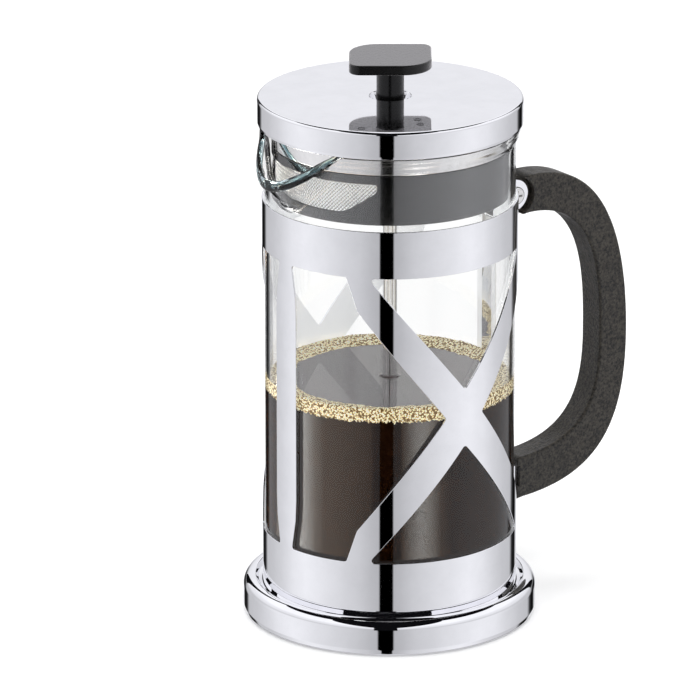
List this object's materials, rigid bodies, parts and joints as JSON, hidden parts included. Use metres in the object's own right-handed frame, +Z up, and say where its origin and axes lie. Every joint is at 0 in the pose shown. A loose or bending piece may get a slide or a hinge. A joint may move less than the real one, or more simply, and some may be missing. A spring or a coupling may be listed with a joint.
{
  "type": "french press",
  "caption": "Glass coffee plunger pot in a chromed cut-out stand with a black handle, steel lid, turning strainer ring and pressed-down filter plunger.",
  "frame": {"origin": "on the pot's axis in the plane it stands on", "axes": "+Z up along the pot's axis, +X towards the handle, -X towards the spout"},
  "size_m": [0.1767, 0.1186, 0.234],
  "materials": {
    "chrome_steel": "mirror-polished chrome",
    "bright_steel": "bright stainless steel",
    "screw_steel": "plated steel",
    "spring_steel": "bright drawn wire",
    "mesh_steel": "fine woven steel wire",
    "black_plastic": "matt moulded plastic",
    "handle_plastic": "fine spark-eroded grain",
    "knob_plastic": "satin moulded plastic",
    "strainer_plastic": "satin moulded plastic",
    "cushion_rubber": "matt silicone",
    "beaker_glass": "clear borosilicate glass"
  },
  "bodies": {
    "stand": {"frame_cage": "chrome_steel", "base_cover": "chrome_steel", "base_plate": "black_plastic", "beaker_cushion": "cushion_rubber", "base_screws": "screw_steel", "handle": "handle_plastic", "clamp_screw": "screw_steel", "clamp_nut": "screw_steel", "handle_bracket": "chrome_steel", "bracket_screw": "screw_steel"},
    "beaker": {"glass_beaker": "beaker_glass"},
    "lid": {"lid_shell": "chrome_steel", "lid_pan": "bright_steel", "rod_bush": "black_plastic"},
    "strainer": {"strainer_ring": "strainer_plastic", "strainer_mesh": "mesh_steel"},
    "plunger": {"knob": "knob_plastic", "plunger_rod": "bright_steel", "rod_collar": "bright_steel", "spring_plate": "bright_steel", "edge_spring": "spring_steel", "filter_mesh": "mesh_steel", "cross_plate": "bright_steel", "hub_nut": "bright_steel"}
  },
  "joints": [
    {"name": "beaker_lift", "type": "slide", "parent": "stand", "child": "beaker", "axis": [0, 0, 1], "range_m": [0, 0.175]},
    {"name": "lid_lift", "type": "slide", "parent": "beaker", "child": "lid", "axis": [0, 0, 1], "range_m": [0, 0.21]},
    {"name": "strainer_turn", "type": "hinge", "parent": "lid", "child": "strainer", "pos_m": [0, 0, 0.2], "axis": [0, 0, 1], "continuous": true},
    {"name": "plunger_slide", "type": "slide", "parent": "lid", "child": "plunger", "axis": [0, 0, 1], "range_m": [0, 0.14]}
  ]
}
